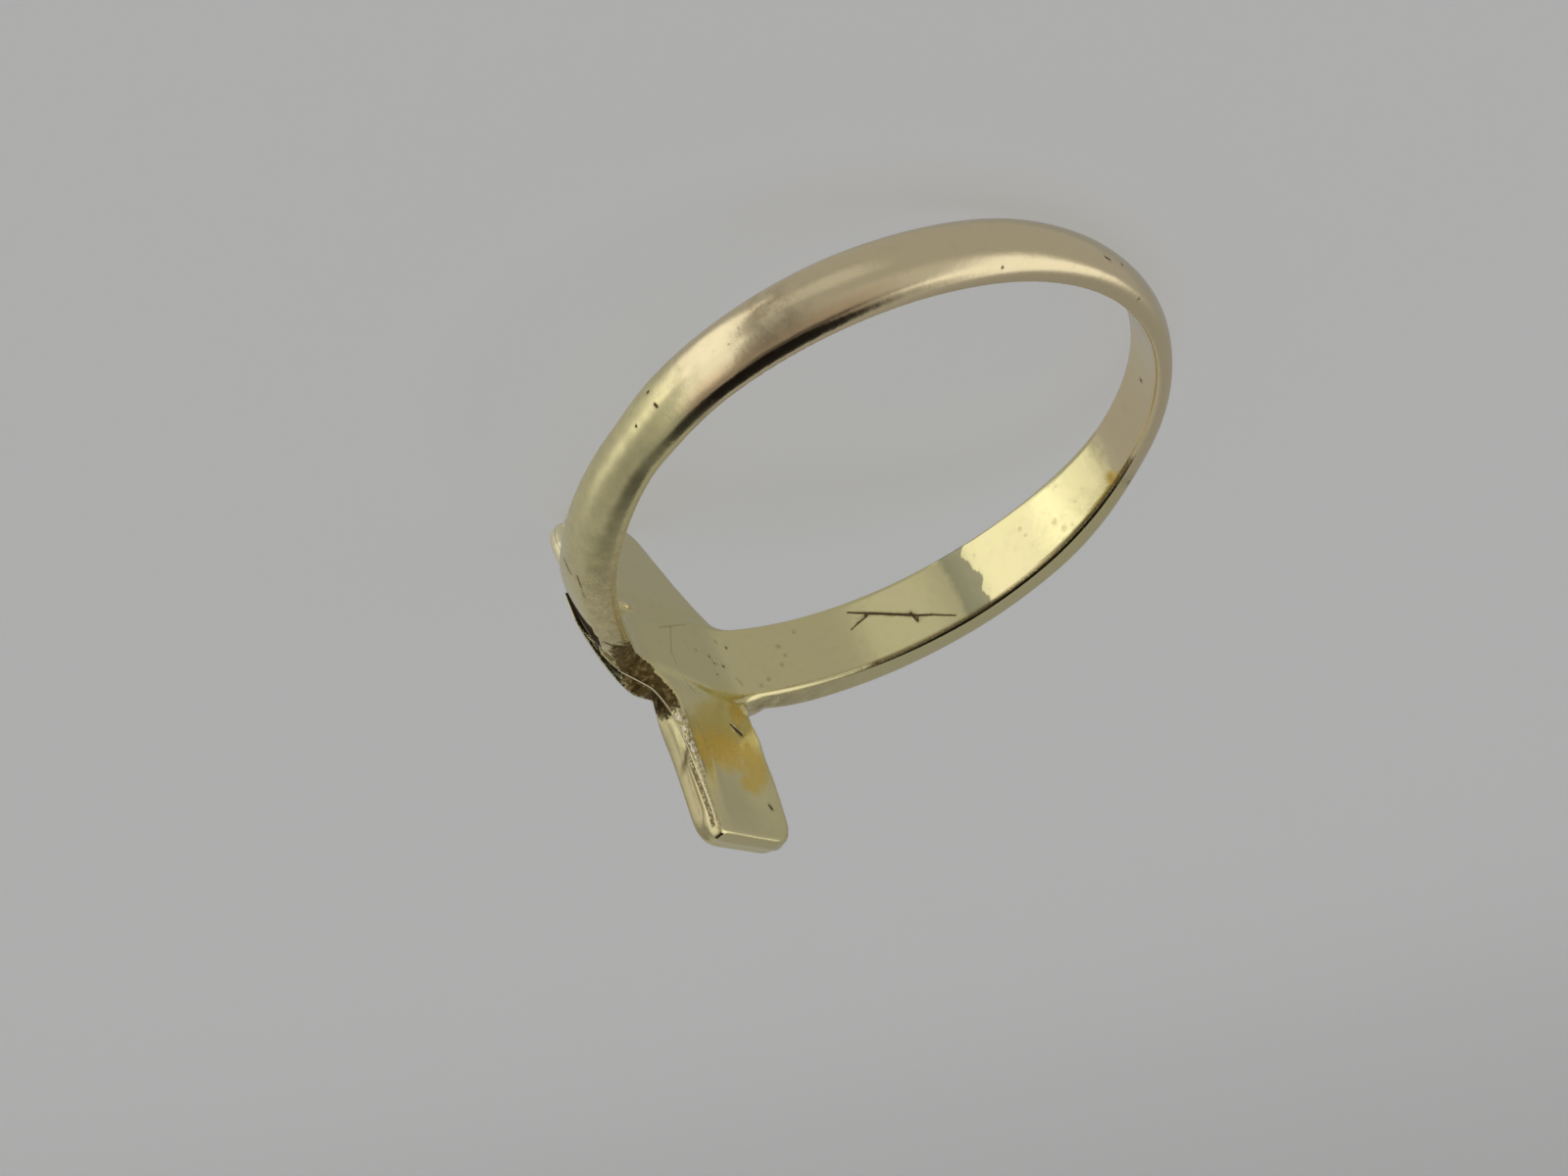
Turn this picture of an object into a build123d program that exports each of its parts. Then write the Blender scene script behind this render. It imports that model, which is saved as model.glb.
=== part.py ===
import os
from math import atan2, cos, degrees, radians, sin, tan

from build123d import *

# Crucifix ring of soldered gold, in millimetres.
# It is built upright, with the finger along Z, X out through the cross and the foot of the
# cross up. At the end it is laid on its side, on the top of the cross and the back of the band.

# Finger hole, and how far the flat back of the cross and the left shoulder stand inside it
finger_radius = 8.65
head_flattening = 0.60
shoulder_flattening = 1.12

# Band at its stoutest, a low dome outside and flat inside, let a little into the back sheet
band_half_width = 1.35
band_edge = 1.20
band_crest = 1.65
band_inlet = 0.06

# Head, two sheets soldered face to face, the front one cut back a little at the seam
back_sheet = 0.47
front_sheet = 0.55
seam_step = 0.04
solder_depth = 0.08

# Long bar of the cross, along the finger, both ends bent away from it
bar_width = 3.35
bar_offset = 1.45
bar_turn = 2.5
foot_reach = 6.05
foot_bend = 1.5
foot_rise = 0.50
top_reach = 5.95
top_bend = 1.7
top_rise = 1.00
foot_rounding = 0.25
top_rounding = 0.55

# The right side of the foot spreads and is longer than its left side
foot_flare = 0.30
foot_slant = 0.20

# Where the front sheet differs: it overhangs on the right, its foot is a little shorter with a
# rounder left corner, and a web runs from the far side of its left arm towards its top
front_overhang = 0.30
front_foot_step = 0.12
front_foot_rounding = 0.60
top_web_width = 1.75
top_web_overlap = 0.15

# Side arms of the cross, across the finger, thinned at their tips
arm_span = 8.9
arm_width = 3.04
arm_centre = -0.18
arm_tip_thickness = 0.14
arm_tip_rounding = 1.2
left_arm_droop = 0.08
right_arm_droop = 0.25

# Short arms of the back sheet under the shoulders, and the webs that round its inner corners
left_near_width = 0.78
left_far_width = 1.55
right_half_width = 1.30
arm_reach = 1.3
left_near_web = 0.95
right_near_web = 0.15
far_web = 0.90

# How far it rolls to one side as it lies, because only a corner of the cross meets the ground
rest_roll = -0.94

# Sections of the band round the finger, from one side of the cross to the other. Angles are in
# degrees from the middle of the head, and the rest are shares of the band's sizes above.
band_sections = (
    # angle, half width, edge, crest, flattening
    (14, 1.00, 0.38, 0.33, 0.00),
    (23, 0.98, 0.62, 0.58, 0.00),
    (36, 0.95, 0.98, 0.98, 0.00),
    (56, 0.94, 0.95, 0.95, 0.00),
    (78, 0.92, 0.86, 0.87, 0.00),
    (100, 0.84, 0.80, 0.80, 0.00),
    (122, 0.68, 0.52, 0.57, 0.00),
    (151, 0.64, 0.35, 0.45, 0.00),
    (180, 0.60, 0.31, 0.46, 0.00),
    (210, 0.69, 0.31, 0.56, 0.00),
    (240, 0.73, 0.30, 0.51, 0.16),
    (264, 0.70, 0.30, 0.48, 0.36),
    (282, 0.70, 0.33, 0.50, 0.66),
    (298, 0.77, 0.45, 0.59, 0.88),
    (313, 0.83, 0.54, 0.68, 0.96),
    (328, 0.82, 0.56, 0.67, 0.98),
    (342, 0.70, 0.70, 0.62, 0.78),
    (351, 0.60, 0.46, 0.38, 0.40),
    (358, 0.57, 0.36, 0.31, 0.10),
)

head_distance = finger_radius - head_flattening
front_distance = head_distance + back_sheet
bar_left = bar_offset - bar_width / 2
bar_right = bar_offset + bar_width / 2


def section_plane(angle):
    """Plane square to the band, with x outwards from the finger and y along it."""
    turn = radians(angle)
    return Plane(origin=(0, 0, 0), x_dir=(cos(turn), sin(turn), 0), z_dir=(sin(turn), -cos(turn), 0))


def inner_radius(angle, flattening):
    """Distance of the inside from the finger's axis, let into the back sheet at the head."""
    round_radius = finger_radius - shoulder_flattening * flattening
    facing = cos(radians(angle))
    if facing < 0.5:
        return round_radius
    return min(round_radius, (head_distance + band_inlet) / facing)


def band_section(angle, width_share, edge_share, crest_share, flattening):
    """Section of the band at an angle round the finger: flat inside, a low arc outside."""
    inside = inner_radius(angle, flattening)
    half_width = band_half_width * width_share
    edge = inside + band_edge * edge_share
    crest = inside + band_crest * crest_share
    with BuildSketch(section_plane(angle)) as section:
        with BuildLine():
            Polyline((edge, -half_width), (inside, -half_width), (inside, half_width), (edge, half_width))
            ThreePointArc((edge, half_width), (crest, 0), (edge, -half_width))
        make_face()
    return section.sketch


# The band is swept round the finger through its sections.
with BuildPart() as band:
    with BuildLine() as finger_line:
        start_angle = band_sections[0][0]
        CenterArc((0, 0, 0), finger_radius, start_angle, band_sections[-1][0] - start_angle)
    sweep([band_section(*row) for row in band_sections], finger_line.line, multisection=True)

# The bar leans a little in the plane of the head, so that its foot lies further to the right.
lean = radians(bar_turn)
bar_plane = Plane(origin=(0, bar_offset, 0), x_dir=(1, 0, 0), z_dir=(0, -cos(lean), sin(lean)))
foot_angle = atan2(foot_rise, foot_reach - foot_bend)
top_angle = atan2(top_rise, top_reach - top_bend)


def bar_line(distance):
    """Side view of one face of the bent bar, this far outside the back, run on past its foot."""
    foot_shift = distance * tan(foot_angle / 2)
    top_shift = distance * tan(top_angle / 2)
    foot_run = foot_reach + 2 * foot_slant
    foot_end = (
        head_distance + distance / cos(foot_angle) + (foot_run - foot_bend) * tan(foot_angle),
        foot_run,
    )
    top_end = (
        head_distance + top_rise + distance * cos(top_angle),
        -top_reach + distance * sin(top_angle),
    )
    foot_corner = (head_distance + distance, foot_bend - foot_shift)
    top_corner = (head_distance + distance, -top_bend + top_shift)
    return [foot_end, foot_corner, top_corner, top_end]


def bar_side(inner, outer):
    """Side view of one sheet of the bent bar, between two distances outside its back."""
    with BuildSketch(bar_plane) as side:
        with BuildLine():
            Polyline(*bar_line(inner), *reversed(bar_line(outer)), close=True)
        make_face()
    return side


def bar_corners(left, right, foot_step):
    """Corners of the leaning bar between two sides of it, with its foot this much shorter."""
    foot = foot_reach - foot_step
    corners = [(left, -top_reach), (right, -top_reach), (right + foot_flare, foot + foot_slant), (left, foot)]
    leaned = []
    for across, along in corners:
        leaned.append((
            bar_offset + across * cos(lean) + along * sin(lean),
            along * cos(lean) - across * sin(lean),
        ))
    return leaned


# The back sheet is the bent bar with a short arm to each shoulder and a web in each corner.
with BuildPart() as back_cross:
    extrude(bar_side(0, back_sheet).sketch, amount=2 * arm_span, both=True)
    with BuildSketch(Plane.YZ) as plan:
        with BuildLine():
            Polyline(*bar_corners(-bar_width / 2, bar_width / 2, 0), close=True)
        make_face()
        fillet(plan.vertices().sort_by(Axis.Y)[:2], top_rounding)
        fillet(plan.vertices().sort_by(Axis.Y)[-2:], foot_rounding)
        with Locations((bar_left, (left_near_width - left_far_width) / 2)):
            Rectangle(2 * arm_reach, left_near_width + left_far_width)
        with Locations((bar_right, 0)):
            Rectangle(2 * arm_reach, 2 * right_half_width)
        fillet(plan.vertices().sort_by_distance((bar_left, left_near_width))[0], left_near_web)
        fillet(plan.vertices().sort_by_distance((bar_left, -left_far_width))[0], far_web)
        fillet(plan.vertices().sort_by_distance((bar_right, right_half_width))[0], right_near_web)
        fillet(plan.vertices().sort_by_distance((bar_right, -right_half_width))[0], far_web)
    extrude(amount=2 * head_distance, mode=Mode.INTERSECT)

# The long bar of the front sheet is stepped back along the seam on the left, overhangs the back
# sheet on the right, and has a web between its top and its left arm.
with BuildPart() as front_bar:
    front_side = bar_side(back_sheet - solder_depth, back_sheet + front_sheet)
    extrude(front_side.sketch, amount=2 * arm_span, both=True)
    with BuildSketch(Plane.YZ) as plan:
        with BuildLine():
            left_side = seam_step - bar_width / 2
            right_side = front_overhang + bar_width / 2
            Polyline(*bar_corners(left_side, right_side, front_foot_step), close=True)
        make_face()
        fillet(plan.vertices().sort_by(Axis.Y)[:2], top_rounding)
        foot_corners = plan.vertices().sort_by(Axis.Y)[-2:].sort_by(Axis.X)
        fillet(foot_corners[-1], foot_rounding)
        fillet(foot_corners[0], front_foot_rounding)
        with BuildLine():
            web_side = arm_centre - arm_width / 2 + top_web_overlap
            Polyline(
                (bar_left, top_rounding - top_reach),
                (bar_left - top_web_width, web_side),
                (bar_left, web_side),
                close=True,
            )
        make_face()
    extrude(amount=2 * head_distance, mode=Mode.INTERSECT)

# Each side arm lies on the back sheet and bends back over its shoulder, down to a thin tip.
with BuildPart() as side_arms:
    under_face = front_distance - solder_depth
    left_tip = bar_offset - arm_span / 2
    right_tip = bar_offset + arm_span / 2
    front_face = front_distance + front_sheet
    with BuildSketch(Plane.XY.offset(arm_centre)):
        with BuildLine():
            Line((under_face, bar_left), (under_face, bar_right))
            under_right = TangentArc(
                (under_face, bar_right), (under_face - right_arm_droop, right_tip), tangent=(0, 1)
            )
            right_end = Line(under_right @ 1, under_right @ 1 + Vector(arm_tip_thickness, 0))
            TangentArc((front_face, bar_right), right_end @ 1, tangent=(0, 1))
            Line((front_face, bar_right), (front_face, bar_left))
            under_left = TangentArc(
                (under_face, bar_left), (under_face - left_arm_droop, left_tip), tangent=(0, -1)
            )
            left_end = Line(under_left @ 1, under_left @ 1 + Vector(arm_tip_thickness, 0))
            TangentArc((front_face, bar_left), left_end @ 1, tangent=(0, -1))
        make_face()
    extrude(amount=arm_width / 2, both=True)
    with BuildSketch(Plane.YZ):
        with Locations((bar_offset, arm_centre)):
            RectangleRounded(arm_span, arm_width, arm_tip_rounding)
    extrude(amount=2 * head_distance, mode=Mode.INTERSECT)

with BuildPart() as upright_ring:
    add(band.part)
    add(back_cross.part)
    add(front_bar.part)
    add(side_arms.part)

# It lies on a corner of the top of the cross and on the far edge of the back of the band.
back_row = [row for row in band_sections if row[0] == 180][0]
back_half_width = band_half_width * back_row[1]
back_contact_out = finger_radius + band_edge * back_row[2]
top_contact_out = head_distance + top_rise
rest_tilt = degrees(atan2(top_reach - back_half_width, top_contact_out + back_contact_out))
laid_down = upright_ring.part.rotate(Axis.X, rest_roll).rotate(Axis.Y, -rest_tilt)
footprint = laid_down.bounding_box()

with BuildPart() as crucifix_ring:
    with Locations((-footprint.center().X, -footprint.center().Y, -footprint.min.Z)):
        add(laid_down.solids())

os.makedirs("parts", exist_ok=True)
crucifix_ring.part.label = "crucifix_ring"
export_step(crucifix_ring.part, "parts/crucifix_ring.step")
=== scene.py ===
"""Looks of the crucifix ring: its gold surface, its stage, its lights and its camera."""

import math
from types import SimpleNamespace

import bpy
import numpy as np
from bpy.props import FloatProperty, FloatVectorProperty, PointerProperty
from mathutils import Matrix, Vector


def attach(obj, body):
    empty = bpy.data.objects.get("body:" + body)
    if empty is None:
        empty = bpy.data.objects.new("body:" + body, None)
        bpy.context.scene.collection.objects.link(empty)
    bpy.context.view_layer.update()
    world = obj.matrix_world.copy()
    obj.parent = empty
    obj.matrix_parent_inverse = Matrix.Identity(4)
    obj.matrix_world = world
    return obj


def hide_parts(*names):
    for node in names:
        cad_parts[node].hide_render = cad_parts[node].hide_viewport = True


bl_info = {
    "name": "Crucifix ring",
    "version": (1, 0, 0),
    "blender": (4, 5, 0),
    "location": "View3D > Sidebar > Crucifix ring",
    "description": "Builds a worn gold ring with a cross as its head, and a pale stage for it",
    "category": "Object",
}

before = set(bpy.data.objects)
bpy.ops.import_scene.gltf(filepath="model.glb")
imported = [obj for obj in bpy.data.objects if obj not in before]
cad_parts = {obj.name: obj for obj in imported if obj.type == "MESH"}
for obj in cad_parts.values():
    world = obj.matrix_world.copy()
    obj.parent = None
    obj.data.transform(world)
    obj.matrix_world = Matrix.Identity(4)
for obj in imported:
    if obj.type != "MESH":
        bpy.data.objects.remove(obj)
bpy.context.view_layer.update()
BODY = "root"
NODE = "crucifix_ring"

# The ring's shape is worked out in its own space, in millimetres: the finger along Z, X out
# through the cross, and the foot of the cross up. These turn it, in degrees, and move it to
# where it lies on its side.
MM = 0.001
REST_ROLL = -0.94
REST_TILT = 15.8767
FINGER_CENTRE = (-1.08184, -0.561913, 3.32652)

# Box in which the surface is looked for, and the cells of the grid in it
SHAPE_LOW = (-9.8, -9.5, -6.3)
SHAPE_HIGH = (10.4, 10.6, 6.3)
FINE_CELL = 0.078

# Sections of the band round the finger: angle from the middle of the head in degrees, then the
# half width, edge thickness and crest thickness as shares of the band's sizes, and the
# flattening as a share of the shoulder's.
BAND_SECTIONS = (
    (14, 1.00, 0.38, 0.33, 0.00),
    (23, 0.98, 0.62, 0.58, 0.00),
    (36, 0.95, 0.98, 0.98, 0.00),
    (56, 0.94, 0.95, 0.95, 0.00),
    (78, 0.92, 0.86, 0.87, 0.00),
    (100, 0.84, 0.80, 0.80, 0.00),
    (122, 0.68, 0.52, 0.57, 0.00),
    (151, 0.64, 0.35, 0.45, 0.00),
    (180, 0.60, 0.31, 0.46, 0.00),
    (210, 0.69, 0.31, 0.56, 0.00),
    (240, 0.73, 0.30, 0.51, 0.16),
    (264, 0.70, 0.30, 0.48, 0.36),
    (282, 0.70, 0.33, 0.50, 0.66),
    (298, 0.77, 0.45, 0.59, 0.88),
    (313, 0.83, 0.54, 0.68, 0.96),
    (328, 0.82, 0.56, 0.67, 0.98),
    (342, 0.70, 0.70, 0.62, 0.78),
    (351, 0.60, 0.46, 0.38, 0.40),
    (358, 0.57, 0.36, 0.31, 0.10),
)
# Degrees over which the sections are eased into each other, and how far the crest stands out
# over the edge at least
EASE_REACH = 12
EASE_WIDTH = 4.0
LEAST_DOME = 0.08

# Humps lie in tables of rows: place across and along, half width and height, and amount.
# This one swells the left shoulder at the end of the slot.
SHOULDER_SWELLING = ((322, -0.55, 7.0, 0.55, 0.11),)
# Hand-worked dips in the back of the cross, and nubs where the amount is negative
BACK_DIPS = (
    (1.95, 4.75, 1.05, 1.00, 0.07),
    (2.40, 2.52, 0.22, 0.13, 0.03),
    (2.80, 1.95, 0.45, 0.35, 0.05),
    (-0.98, -1.26, 0.34, 0.14, -0.12),
    (0.55, 4.00, 0.25, 1.60, -0.02),
    (3.25, 1.72, 0.16, 0.13, -0.07),
)

# How far the bar leans in degrees, and the swellings of its foot: place, half length and amount
LEAN = 2.5
FOOT_SWELLINGS = ((4.1, 1.0, 0.10), (2.75, 0.42, 0.10))

# Short arms of the back sheet, and the rounding of its inner corners left and right of the bar
LEFT_ARM_REACH = 2.3
LEFT_ARM_END = 1.55
RIGHT_ARM_REACH = 4.4
RIGHT_ARM_HALF_WIDTH = 1.30
FOOT_CORNERS = (0.5, 0.8)
TOP_CORNERS = (2.2, 1.25)

# Slanting wall between the left shoulder and the side of the foot: where it starts, its height
# there, its slope and curve along the arm, and its lean from back to front
WALL_START = -1.39
WALL_HEIGHT = 0.74
WALL_SLOPE = 0.62
WALL_CURVE = 0.18
WALL_LEAN = 0.45

# Web from the far side of the left arm towards the top: place along the bar, and its edge there
WEB_EDGE = (
    (-5.70, -0.36),
    (-5.35, -0.64),
    (-5.02, -0.86),
    (-4.59, -1.06),
    (-4.19, -1.18),
    (-3.60, -1.36),
    (-1.70, -2.10),
)
WEB_TOP = 5.85
WEB_FOOT = 1.7

# Side arms: how far they sink into the back sheet, and how far their under and upper faces
# bend back at the left and the right tip
ARM_SINK = 0.08
UNDER_BEND = (0.08, 0.25)
OVER_BEND = (0.16, 0.33)

# Slot beside the left shoulder: points that it runs through, and its half width there
SLOT = (
    (7.06, -5.06, -0.62, 0.01),
    (7.22, -4.90, -0.25, 0.12),
    (7.40, -4.62, 0.10, 0.17),
    (7.52, -4.38, 0.40, 0.15),
    (7.60, -4.10, 0.62, 0.10),
    (7.74, -3.76, 0.76, 0.12),
    (7.98, -3.32, 0.78, 0.05),
)


def length(name, description, default, low=0.0, high=30.0):
    """A size that a user may change: given here in millimetres, held in metres."""
    return FloatProperty(
        name=name,
        description=description,
        default=default * MM,
        min=low * MM,
        max=high * MM,
        step=0.01,
        precision=3,
        unit="LENGTH",
    )


def colour(name, description, default):
    """A colour that a user may change."""
    return FloatVectorProperty(
        name=name,
        description=description,
        default=default,
        size=3,
        subtype="COLOR",
        min=0.0,
        max=1.0,
    )


def strength(name, description, default):
    """A strength of light that a user may change."""
    return FloatProperty(
        name=name,
        description=description,
        default=default,
        min=0.0,
        soft_max=2.0,
        subtype="FACTOR",
    )


class BandSizes(bpy.types.PropertyGroup):
    """Sizes of the band round the finger."""

    finger_radius: length("Finger radius", "Radius of the round finger hole", 8.65)
    half_width: length("Half width", "Half the width of the band where it is widest", 1.35)
    edge: length("Edge", "Thickness of the band at its edge where it is stoutest", 1.20)
    crest: length("Crest", "Thickness of the band at its crest where it is stoutest", 1.65)
    flattening: length("Flattening", "How far the left shoulder is pressed in", 1.12)
    inlet: length("Inlet", "How far the band is let into the back sheet", 0.06)
    edge_rounding: length("Edge rounding", "Wear of the band's edges", 0.22)


class CrossSizes(bpy.types.PropertyGroup):
    """Sizes of the cross and of the sheet behind it."""

    head_flattening: length("Head flattening", "How far the back stands inside the hole", 0.60)
    back_sheet: length("Back sheet", "Thickness of the back sheet", 0.47)
    front_sheet: length("Front sheet", "Thickness of the front sheet", 0.55)
    bar_width: length("Bar width", "Width of the long bar", 3.35)
    bar_offset: length("Bar offset", "How far the bar stands right of the middle", 1.45, low=-5.0)
    foot_reach: length("Foot reach", "Length of the bar to its foot", 6.05)
    foot_bend: length("Foot bend", "Where the foot begins to bend away", 1.5)
    foot_rise: length("Foot rise", "How far the foot bends away", 0.50)
    foot_flare: length("Foot flare", "How far the right side of the foot spreads", 0.30)
    foot_slant: length("Foot slant", "How much longer the right side of the foot is", 0.20)
    front_overhang: length("Front overhang", "How far the front sheet overhangs on the right", 0.30)
    top_reach: length("Top reach", "Length of the bar to its top", 5.95)
    top_bend: length("Top bend", "Where the top begins to bend away", 1.7)
    top_rise: length("Top rise", "How far the top bends away", 1.00)
    arm_span: length("Arm span", "Length over both side arms", 8.9)
    arm_width: length("Arm width", "Width of the side arms", 3.04)
    arm_tip: length("Arm tip", "Thickness of the side arms at their tips", 0.14)


class GoldColours(bpy.types.PropertyGroup):
    """Colours of the metal and of what lies on it."""

    shoulder_gold: colour("Shoulder gold", "Greenish gold of the shoulders", (0.83, 0.75, 0.39))
    back_gold: colour("Back gold", "Rose gold of the back that was let in", (0.85, 0.72, 0.45))
    solder: colour("Solder", "Paler solder in the seams", (0.92, 0.84, 0.58))
    amber_stain: colour("Amber stain", "Heat stain on the foot of the cross", (0.86, 0.62, 0.14))
    # The dirt colour, darkened, is also the painted shade in the slot
    dirt_and_slot_shade: colour("Dirt", "Brown dirt in pits and corners", (0.06, 0.035, 0.012))


class StageSettings(bpy.types.PropertyGroup):
    """Floor, lights and camera."""

    floor: colour("Floor", "Colour of the floor and the backdrop", (0.355, 0.355, 0.353))
    sky: strength("Sky", "Strength of the even light from all round", 0.38)
    window: strength("Soft boxes", "Strength of the soft boxes", 1.0)
    overhead: FloatProperty(
        name="Overhead",
        description="Power of the lamp over the floor",
        default=5.5,
        min=0.0,
        unit="POWER",
    )
    lens: FloatProperty(
        name="Lens",
        description="Focal length of the camera",
        default=39.44,
        min=1.0,
        unit="CAMERA",
    )


def in_millimetres(sizes):
    """The lengths of a group, rounded because its properties hold single precision."""
    names = type(sizes).__annotations__
    return SimpleNamespace(**{name: round(getattr(sizes, name) / MM, 5) for name in names})


def smooth_max(a, b, blend):
    """The greater of two distances, with the edge between them rounded."""
    overlap = np.maximum(blend - np.abs(a - b), 0.0) / blend
    return np.maximum(a, b) + overlap * overlap * blend * 0.25


def smooth_min(a, b, blend):
    """The lesser of two distances, with the corner between them filled."""
    return -smooth_max(-a, -b, blend)


def soft_ramp(distance, blend):
    """Zero below nought and the distance above it, with a soft bend between."""
    return np.logaddexp(0.0, distance / blend) * blend


def swell(value, width):
    """Soft swelling, one at its middle."""
    return np.exp(-((value / width) ** 2))


def hump(across, along, width, height):
    """Soft round hump, one at its middle."""
    return np.exp(-((across / width) ** 2) - (along / height) ** 2)


def humps(rows, across, along):
    """The humps of a table, each times its amount."""
    return [
        amount * hump(across - side, along - up, width, height)
        for side, up, width, height, amount in rows
    ]


def step_up(value, start, end):
    """Eased step from nought at the start to one at the end, which may be the lesser."""
    share = np.clip((value - start) / (end - start), 0.0, 1.0)
    return share * share * (3 - 2 * share)


def window(value, low, full_low, full_high, high):
    """Nought outside low and high, one between the two full values, and eased between."""
    return step_up(value, low, full_low) * step_up(value, high, full_high)


def read_off(value, table):
    """What a table of two columns gives for the value, straight between its rows."""
    places, held = np.transpose(table)
    return np.interp(value, places, held)


class RingForm:
    """Distance from the ring's surface, negative inside the metal."""

    def __init__(self, band, cross):
        self.band = band
        self.cross = cross
        self.head = band.finger_radius - cross.head_flattening
        self.foot_slope = cross.foot_rise / (cross.foot_reach - cross.foot_bend)
        self.top_slope = cross.top_rise / (cross.top_reach - cross.top_bend)
        self.lean = math.radians(LEAN)
        self.sections = self.dense_sections()

    def dense_sections(self):
        """The table of sections at every degree, eased between its rows."""
        table = np.array(BAND_SECTIONS, float)
        degrees = np.arange(360.0)
        columns = [np.interp(degrees, table[:, 0], held, period=360) for held in table.T[1:]]
        ease = np.exp(-0.5 * (np.arange(-EASE_REACH, EASE_REACH + 1) / EASE_WIDTH) ** 2)
        ease /= ease.sum()
        columns = [np.convolve(np.pad(c, EASE_REACH, "wrap"), ease, "valid") for c in columns]
        half, edge, crest, flat = columns
        inside = self.band.finger_radius - self.band.flattening * flat
        # In front of the finger, the flat back of the cross bounds the hole
        least_facing, far_off = 0.3, 99.0
        facing = np.cos(np.radians(degrees))
        head_back = (self.head + self.band.inlet) / np.maximum(facing, least_facing)
        head_back = np.where(facing > least_facing, head_back, far_off)
        inside = smooth_min(inside, head_back, blend=0.25)
        half = half * self.band.half_width
        edge = edge * self.band.edge
        crest = np.maximum(crest * self.band.crest, edge + LEAST_DOME)
        return np.stack([half, edge, crest, inside])

    def around(self, x, y):
        """Angle round the finger in degrees, and the section there."""
        turn = np.degrees(np.arctan2(y, x)) % 360
        low = np.floor(turn).astype(np.int32) % 360
        share = turn - np.floor(turn)
        rows = [s[low] * (1 - share) + s[(low + 1) % 360] * share for s in self.sections]
        return turn, rows

    def band_distance(self, x, y, z):
        """Distance from the band: flat inside, domed outside, with worn edges."""
        turn, (half, edge, crest, inside) = self.around(x, y)
        deep = np.hypot(x, y) - inside
        rise = crest - edge
        bow = (half * half + rise * rise) / (2 * rise)
        dome = np.hypot(deep - (crest - bow), z) - bow - sum(humps(SHOULDER_SWELLING, turn, z))
        wear = self.band.edge_rounding
        flat = smooth_max(-deep, np.abs(z) - half, wear)
        left_shoulder = window(turn, 272, 284, 342, 350)
        return smooth_max(flat, dome, wear + 0.28 * left_shoulder)

    def sheet_depth(self, x, z):
        """How far a point lies in front of the back of the bent cross."""
        c = self.cross
        foot = self.foot_slope * soft_ramp(z - c.foot_bend, 0.2)
        top = self.top_slope * soft_ramp(-z - c.top_bend, 0.2)
        foot_slope = self.foot_slope * (z > c.foot_bend)
        slope = np.where(z > 0, foot_slope, self.top_slope * (z < -c.top_bend))
        return (x - self.head - (foot + top)) / np.sqrt(1 + slope * slope)

    def bar_plan(self, y, z, left, right, foot_step, blend_left, blend_right, blend_top):
        """Distance from the outline of the leaning bar, in the plan of the cross."""
        c = self.cross
        across = (y - c.bar_offset) * math.cos(self.lean) - z * math.sin(self.lean)
        along = (y - c.bar_offset) * math.sin(self.lean) + z * math.cos(self.lean)
        flare = c.foot_flare * (along + c.top_reach) / (c.top_reach + c.foot_reach)
        for place, width, amount in FOOT_SWELLINGS:
            flare = flare + amount * swell(z - place, width)
        sides = np.maximum(left - across, across - right - flare)
        slant = c.foot_slant * (across / c.bar_width + 0.5)
        foot = along - c.foot_reach + foot_step - slant
        ends = smooth_max(sides, foot, np.where(across < 0, blend_left, blend_right))
        return smooth_max(ends, -along - c.top_reach, blend_top)

    def left_corner(self, x, y, z):
        """Distance from the slanting wall that joins the left shoulder to the side of the foot."""
        along = y - WALL_START
        height = WALL_HEIGHT + WALL_SLOPE * along + WALL_CURVE * np.maximum(along, 0.0) ** 2
        steepness = 0.8
        return (z - height - WALL_LEAN * np.clip(x - self.head, -0.2, 1.1)) * steepness

    def back_sheet_distance(self, x, y, z):
        """Distance from the back sheet: the bent bar and a short arm under each shoulder."""
        c = self.cross
        left = y < c.bar_offset
        half = c.bar_width / 2
        plan = self.bar_plan(
            y,
            z,
            left=-half,
            right=half - 0.14 * step_up(z, -1.5, -3.5),
            foot_step=0.0,
            blend_left=0.2,
            blend_right=0.95,
            blend_top=0.8,
        )
        left_arm = np.maximum(-LEFT_ARM_REACH - y, self.left_corner(x, y, z))
        left_arm = np.maximum(left_arm, -LEFT_ARM_END - z)
        right_arm = np.maximum(y - RIGHT_ARM_REACH, np.abs(z) - RIGHT_ARM_HALF_WIDTH)
        corners = np.where(z > 0, np.where(left, *FOOT_CORNERS), np.where(left, *TOP_CORNERS))
        plan = smooth_min(plan, np.where(left, left_arm, right_arm), corners)
        depth = self.sheet_depth(x, z)
        dips = sum(humps(BACK_DIPS, y, z))
        faces = smooth_max(dips - depth, depth - c.back_sheet, blend=0.1)
        return smooth_max(faces, plan, blend=0.16)

    def front_bar_distance(self, x, y, z):
        """Distance from the long bar of the front sheet, with its web towards the left arm."""
        c = self.cross
        half = c.bar_width / 2
        plan = self.bar_plan(
            y,
            z,
            left=0.04 - half - 0.11 * swell(z - 2.3, 0.8),
            right=half + c.front_overhang,
            foot_step=0.12,
            blend_left=0.75,
            blend_right=1.05,
            blend_top=0.9,
        )
        web = smooth_max(0.90 * (read_off(z, WEB_EDGE) - y), -z - WEB_TOP, blend=0.6)
        web = np.maximum(web, np.maximum(z + WEB_FOOT, y - 1.0))
        plan = smooth_min(plan, web, blend=0.2)
        depth = self.sheet_depth(x, z)
        sunk = 0.06
        faces = smooth_max(
            c.back_sheet - sunk - depth, depth - (c.back_sheet + c.front_sheet), blend=0.05
        )
        return smooth_max(faces, plan, blend=0.3)

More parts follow.
